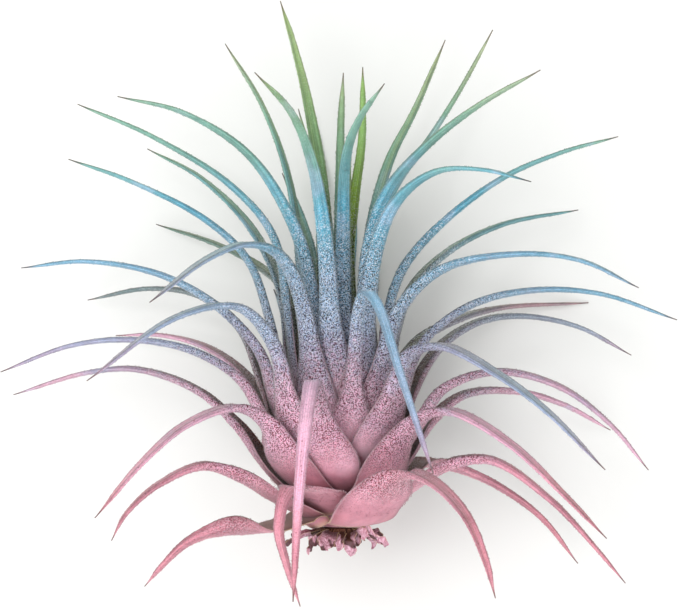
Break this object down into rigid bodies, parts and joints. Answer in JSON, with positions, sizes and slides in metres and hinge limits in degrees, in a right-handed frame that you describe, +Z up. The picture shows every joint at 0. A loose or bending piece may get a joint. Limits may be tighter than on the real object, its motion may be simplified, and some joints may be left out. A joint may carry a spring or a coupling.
{
  "type": "sky plant",
  "caption": "Air plant lying on its side: a stem wrapped in clasping leaf sheaths that arch out into long pointed blades, pink at the base, blue in the middle and green at the tips.",
  "frame": {"origin": "middle of the plant's footprint on the surface that it lies on", "axes": "+Z up, +Y along the stem from the root stub to the growing tip, +X to the right seen from above"},
  "size_m": [0.1174, 0.1062, 0.0652],
  "materials": {
    "leaf_lower": "matte pink dye over fine grey scales",
    "leaf_middle": "matte lavender and blue dye over fine grey scales",
    "leaf_upper": "matte blue to green leaf with fine scales",
    "dead_wood": "dry rough brown root stub",
    "dry_scale": "papery dry scale with pink dye"
  },
  "bodies": {
    "root": {"leaf_01": "leaf_lower", "leaf_02": "leaf_lower", "leaf_03": "leaf_lower", "leaf_04": "leaf_lower", "leaf_05": "leaf_lower", "leaf_06": "leaf_lower", "leaf_07": "leaf_lower", "leaf_08": "leaf_lower", "leaf_09": "leaf_lower", "leaf_10": "leaf_lower", "leaf_11": "leaf_lower", "leaf_12": "leaf_lower", "leaf_13": "leaf_lower", "leaf_14": "leaf_lower", "leaf_15": "leaf_lower", "leaf_16": "leaf_lower", "leaf_17": "leaf_lower", "leaf_18": "leaf_lower", "leaf_19": "leaf_middle", "leaf_20": "leaf_middle", "leaf_21": "leaf_middle", "leaf_22": "leaf_middle", "leaf_23": "leaf_middle", "leaf_24": "leaf_middle", "leaf_25": "leaf_middle", "leaf_26": "leaf_middle", "leaf_27": "leaf_middle", "leaf_28": "leaf_middle", "leaf_29": "leaf_middle", "leaf_30": "leaf_middle", "leaf_31": "leaf_middle", "leaf_32": "leaf_middle", "leaf_33": "leaf_middle", "leaf_34": "leaf_middle", "leaf_35": "leaf_middle", "leaf_36": "leaf_middle", "leaf_37": "leaf_upper", "leaf_38": "leaf_upper", "leaf_39": "leaf_upper", "leaf_40": "leaf_upper", "leaf_41": "leaf_upper", "leaf_42": "leaf_upper", "leaf_43": "leaf_upper", "leaf_44": "leaf_upper", "leaf_45": "leaf_upper", "leaf_46": "leaf_upper", "leaf_47": "leaf_upper", "leaf_48": "leaf_upper", "leaf_49": "leaf_upper", "leaf_50": "leaf_upper", "stem": "leaf_upper", "root_stub": "dead_wood", "dry_scale_1": "dry_scale", "dry_scale_2": "dry_scale", "dry_scale_3": "dry_scale", "dry_scale_4": "dry_scale", "dry_scale_5": "dry_scale", "dry_scale_6": "dry_scale"}
  },
  "joints": []
}
